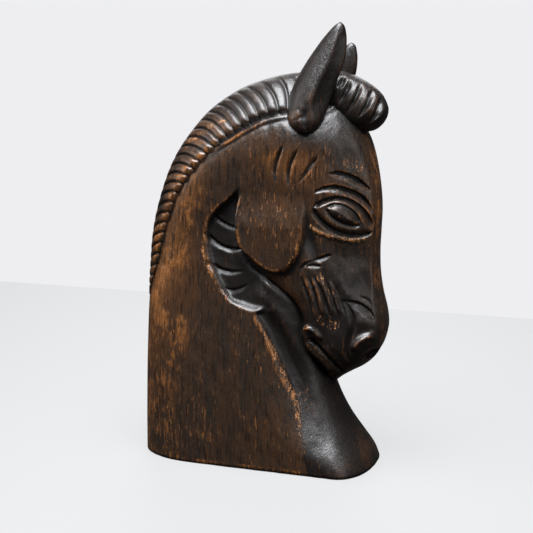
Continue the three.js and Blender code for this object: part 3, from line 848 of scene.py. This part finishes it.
# The node tree of a new material or world.
class Tree:
    def __init__(self, owner, shader="Principled BSDF"):
        owner.use_nodes = True
        self.owner = owner
        self.nodes, self.links = owner.node_tree.nodes, owner.node_tree.links
        self.shader = self.nodes[shader]

    # A node from its type, its settings, and its sockets' values or links.
    def node(self, kind, settings, sockets=(), out=0):
        made = self.nodes.new(kind)
        for key, value in settings.items():
            setattr(made, key, value)
        pairs = sockets.items() if isinstance(sockets, dict) else enumerate(sockets)
        for key, value in pairs:
            self.join(made.inputs[key], value)
        return Link(self, made.outputs[out])

    def join(self, socket, value):
        if isinstance(value, Link):
            self.links.new(value.socket, socket)
        else:
            socket.default_value = value

    def mix(self, factor, first, second):
        made = self.nodes.new("ShaderNodeMix")
        made.data_type = "RGBA"
        for key, value in ((0, factor), (6, first), (7, second)):
            self.join(made.inputs[key], value)
        return Link(self, made.outputs[2])

    def scaled(self, place, factors):
        return self.node("ShaderNodeVectorMath", {"operation": "MULTIPLY"}, [place, factors])

    def noise(self, place, scale, detail, rough, twist=0.0):
        return self.node("ShaderNodeTexNoise", {}, {"Vector": place, "Scale": scale,
                         "Detail": detail, "Roughness": rough, "Distortion": twist})


woodLook = {
    "black": (0.0064, 0.0048, 0.0042, 1),
    "smoke": (0.0145, 0.0108, 0.0085, 1),
    "brown": (0.042, 0.0192, 0.0088, 1),
    "orange": (0.19, 0.073, 0.020, 1),
    "bare": (0.36, 0.18, 0.07, 1),
    "orangeShare": 0.75,       # how much of each colour shows where it is thickest
    "streakShare": 0.85,
    "darkStreakShare": 0.7,
    "rubbedShare": 0.75,
    "lostShare": 0.85,
    "bareShare": 0.6,
    # the black of the painted shade in the hollows
    "shadeShare": 0.9,
    "roughness": 0.25,
    "specular": 0.42,
    "bump": 0.6,
    "bumpDepth": 0.0006,       # metres
}

# Noise in the wood: how it is drawn out along the grain, then scale, detail and roughness,
# and how far it is twisted.
woodNoise = {
    "grain": (0.05, 1300, 3, 0.65),
    "broadGrain": (0.09, 230, 4, 0.65, 0.3),
    "streak": (0.11, 1000, 2, 0.6),
    "darkStreak": (0.08, 800, 2, 0.6),
    "patches": (1, 42, 3, 0.6),
    "chips": (0.22, 560, 4, 0.7),
    "speck": (1, 760, 3, 0.65),
    "dimples": (1, 250, 2, 0.5),
    "clouds": (1, 16, 2, 0.5),
}


# Dark stain rubbed thin, with black painted shade in the hollows: brown on the open faces, orange
# where it is worn through on edges, in chips and in thin streaks along the grain, which runs
# upwards.
def makeWood():
    w = woodLook
    tree = Tree(bpy.data.materials.new("stainedWood"))
    place = tree.node("ShaderNodeTexCoord", {}, out="Object")
    value = lambda name: tree.node("ShaderNodeAttribute", {"attribute_name": name}, out="Fac")
    # Worn edges, painted shade in the hollows, warm and dark stain, and chips.
    worn, paintedShade, warm, dark, chipped = (
        value(n) for n in ("wornEdge", "paintedShade", "warm", "dark", "chipped"))
    noise = lambda name: tree.noise(
        tree.scaled(place, (1, 1, woodNoise[name][0])), *woodNoise[name][1:])
    grain, broadGrain, streak, darkStreak = (
        noise(n) for n in ("grain", "broadGrain", "streak", "darkStreak"))
    patches, chips, speck, dimples, clouds = (
        noise(n) for n in ("patches", "chips", "speck", "dimples", "clouds"))

    # Stain: how brown, then how orange. Each pattern's factor is its weight. The hollows are also
    # painted less brown and darker, as shade.
    brownness = (warm * 0.8 + clouds.ranged(0.35, 0.65) * 0.3
                 + (broadGrain - 0.5) * 1.2 + (grain - 0.5) * 1.7
                 - dark * 0.8 - paintedShade * 0.5 + 0.2).clamped()
    ground = tree.mix((dark + paintedShade).clamped(), w["smoke"], w["black"])
    colour = tree.mix(brownness, ground, w["brown"])
    orangeness = (warm.ranged(0.4, 1.0) * (1 - dark)
                  * (0.26 + (broadGrain - 0.5) * 0.8 + (grain - 0.5) * 1.7
                     + (patches - 0.5) * 0.45).clamped())
    colour = tree.mix(orangeness * w["orangeShare"], colour, w["orange"])
    # Thin streaks, thick where patches let them through.
    streaks = ((streak + (patches - 0.5) * 0.4).ranged(0.655, 0.71)
               * (warm * 0.4 + 0.55 - dark * 0.4).clamped())
    colour = tree.mix(darkStreak.ranged(0.56, 0.64) * w["darkStreakShare"], colour, w["black"])
    colour = tree.mix(streaks * w["streakShare"], colour, w["orange"])
    # Rubbed edges and chips.
    rubbed = (worn.ranged(0.3, 1.0) * (chips * 0.8 + patches * 0.7).ranged(0.70, 0.88)
              * (1 - dark * 0.9)).clamped()
    colour = tree.mix(rubbed * w["rubbedShare"], colour, w["orange"])
    lost = (chipped.ranged(0.1, 0.6) * (chips * 0.6 + speck * 0.3 + chipped * 0.14
                                        ).ranged(0.54, 0.62)).clamped()
    colour = tree.mix(lost * w["lostShare"], colour, w["orange"])
    colour = tree.mix(lost * speck.ranged(0.5, 0.65) * w["bareShare"], colour, w["bare"])
    # Painted shade: black laid into the hollows, where shade falls.
    colour = tree.mix(paintedShade.ranged(0.15, 0.75) * w["shadeShare"], colour, w["black"])

    rough = (w["roughness"] + (patches - 0.5) * 0.2 + (chips - 0.5) * 0.25
             + (speck - 0.5) * 0.25 + streaks * 0.15 + lost * 0.2 + paintedShade * 0.12 + dark * 0.12)
    height = (grain * 0.3 + speck * 0.3 + dimples * 0.55 + patches * 1.4 + chips * 0.3
              - streaks * 0.25 - lost * 0.35)
    bump = tree.node("ShaderNodeBump", {}, {"Strength": w["bump"], "Height": height,
                                            "Distance": w["bumpDepth"]}, out="Normal")
    inputs = tree.shader.inputs
    tree.join(inputs["Base Color"], colour)
    tree.join(inputs["Roughness"], rough.clamped())
    tree.join(inputs["Normal"], bump)
    inputs["Specular IOR Level"].default_value = w["specular"]
    return tree.owner


horse.data.materials.clear()
horse.data.materials.append(makeWood())
horse.data.polygons.foreach_set("use_smooth", np.ones(len(horse.data.polygons), bool))
horse.data.update()
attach(horse, "root")
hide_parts("horse_head")
print("wood stained")

stageForm = {
    "cameraAt": (0.2736, -0.7518, 0.265),
    "turn": 20.0,              # degrees round from straight ahead
    "pitch": 9.69,             # degrees down
    "lens": 82.3,
    "shift": 0.0056,
    "floorReach": 4.0,
    "floorBack": 0.50,
    "floorDrop": 0.2,          # millimetres, so that the floor and the foot don't share a face
    "floorColour": (0.035, 0.035, 0.035, 1),
    "floorRoughness": 0.7,
    "floorGlow": 0.61,         # keeps the floor evenly pale
    "glowColour": (0.985, 0.99, 1, 1),
    "roomColour": (0.84, 0.84, 0.86, 1),
    "shownStrength": 1.02,     # how bright the room looks behind the carving
    "givenStrength": 0.05,     # how much light it gives
}


def plainMaterial(name, colour, roughness, glow):
    tree = Tree(bpy.data.materials.new(name))
    inputs = tree.shader.inputs
    inputs["Base Color"].default_value = colour
    inputs["Roughness"].default_value = roughness
    inputs["Emission Color"].default_value = stageForm["glowColour"]
    inputs["Emission Strength"].default_value = glow
    return tree.owner


def makeStage():
    s = stageForm
    reach, back = s["floorReach"], s["floorBack"]
    corners = np.array([(-reach, -reach, 0), (reach, -reach, 0), (reach, back, 0),
                        (-reach, back, 0)]) / toMetres
    floor = makeObject("floor", corners - (0, 0, s["floorDrop"]), [(0, 1, 2, 3)])
    floor.data.materials.append(plainMaterial("paleFloor", s["floorColour"],
                                              s["floorRoughness"], s["floorGlow"]))
    floor.visible_glossy = floor.visible_diffuse = False
    world = bpy.data.worlds.new("paleRoom")
    bpy.context.scene.world = world
    tree = Tree(world, "Background")
    seen = tree.node("ShaderNodeLightPath", {}, out="Is Camera Ray")
    given, shown = s["givenStrength"], s["shownStrength"]
    tree.join(tree.shader.inputs["Color"], s["roomColour"])
    tree.join(tree.shader.inputs["Strength"], seen * (shown - given) + given)
    camera = bpy.data.objects.new("camera", bpy.data.cameras.new("camera"))
    bpy.context.collection.objects.link(camera)
    camera.location = s["cameraAt"]
    camera.rotation_euler = (math.radians(90 - s["pitch"]), 0, math.radians(s["turn"]))
    camera.data.lens, camera.data.shift_x = s["lens"], s["shift"]
    bpy.context.scene.camera = camera


# Soft studio lights, with places and sizes in metres.
studioLights = {
    "above": {"at": (0.05, -0.35, 1.15), "aim": 0.15, "size": (1.0, 0.9), "power": 74,
              "colour": (0.94, 0.965, 1.0)},
    "right": {"at": (1.1, -0.55, 0.45), "aim": 0.12, "size": (0.5, 0.8), "power": 2.5,
              "colour": (1, 0.98, 0.96)},
    "left": {"at": (-1.4, -0.5, 0.6), "aim": 0.12, "size": (0.7, 0.7), "power": 7,
             "colour": (1, 0.98, 0.95)},
    "behind": {"at": (-0.4, 1.2, 0.7), "aim": 0.14, "size": (0.9, 0.9), "power": 6,
               "colour": (1, 1, 1)},
}


# A soft rectangular light, turned towards the height on the middle line that it aims at.
def addLight(name, at, aim, size, power, colour):
    light = bpy.data.lights.new(name, "AREA")
    light.shape, light.size, light.size_y = "RECTANGLE", size[0], size[1]
    light.energy, light.color = power, colour
    lamp = bpy.data.objects.new(name, light)
    bpy.context.collection.objects.link(lamp)
    lamp.location = at
    way = Vector((0, 0, aim)) - Vector(at)
    lamp.rotation_euler = way.to_track_quat("-Z", "Y").to_euler()
    lamp.visible_camera = False


bpy.context.scene.view_settings.view_transform = "Standard"
makeStage()
for name, light in studioLights.items():
    addLight(name, **light)
print("stage set")
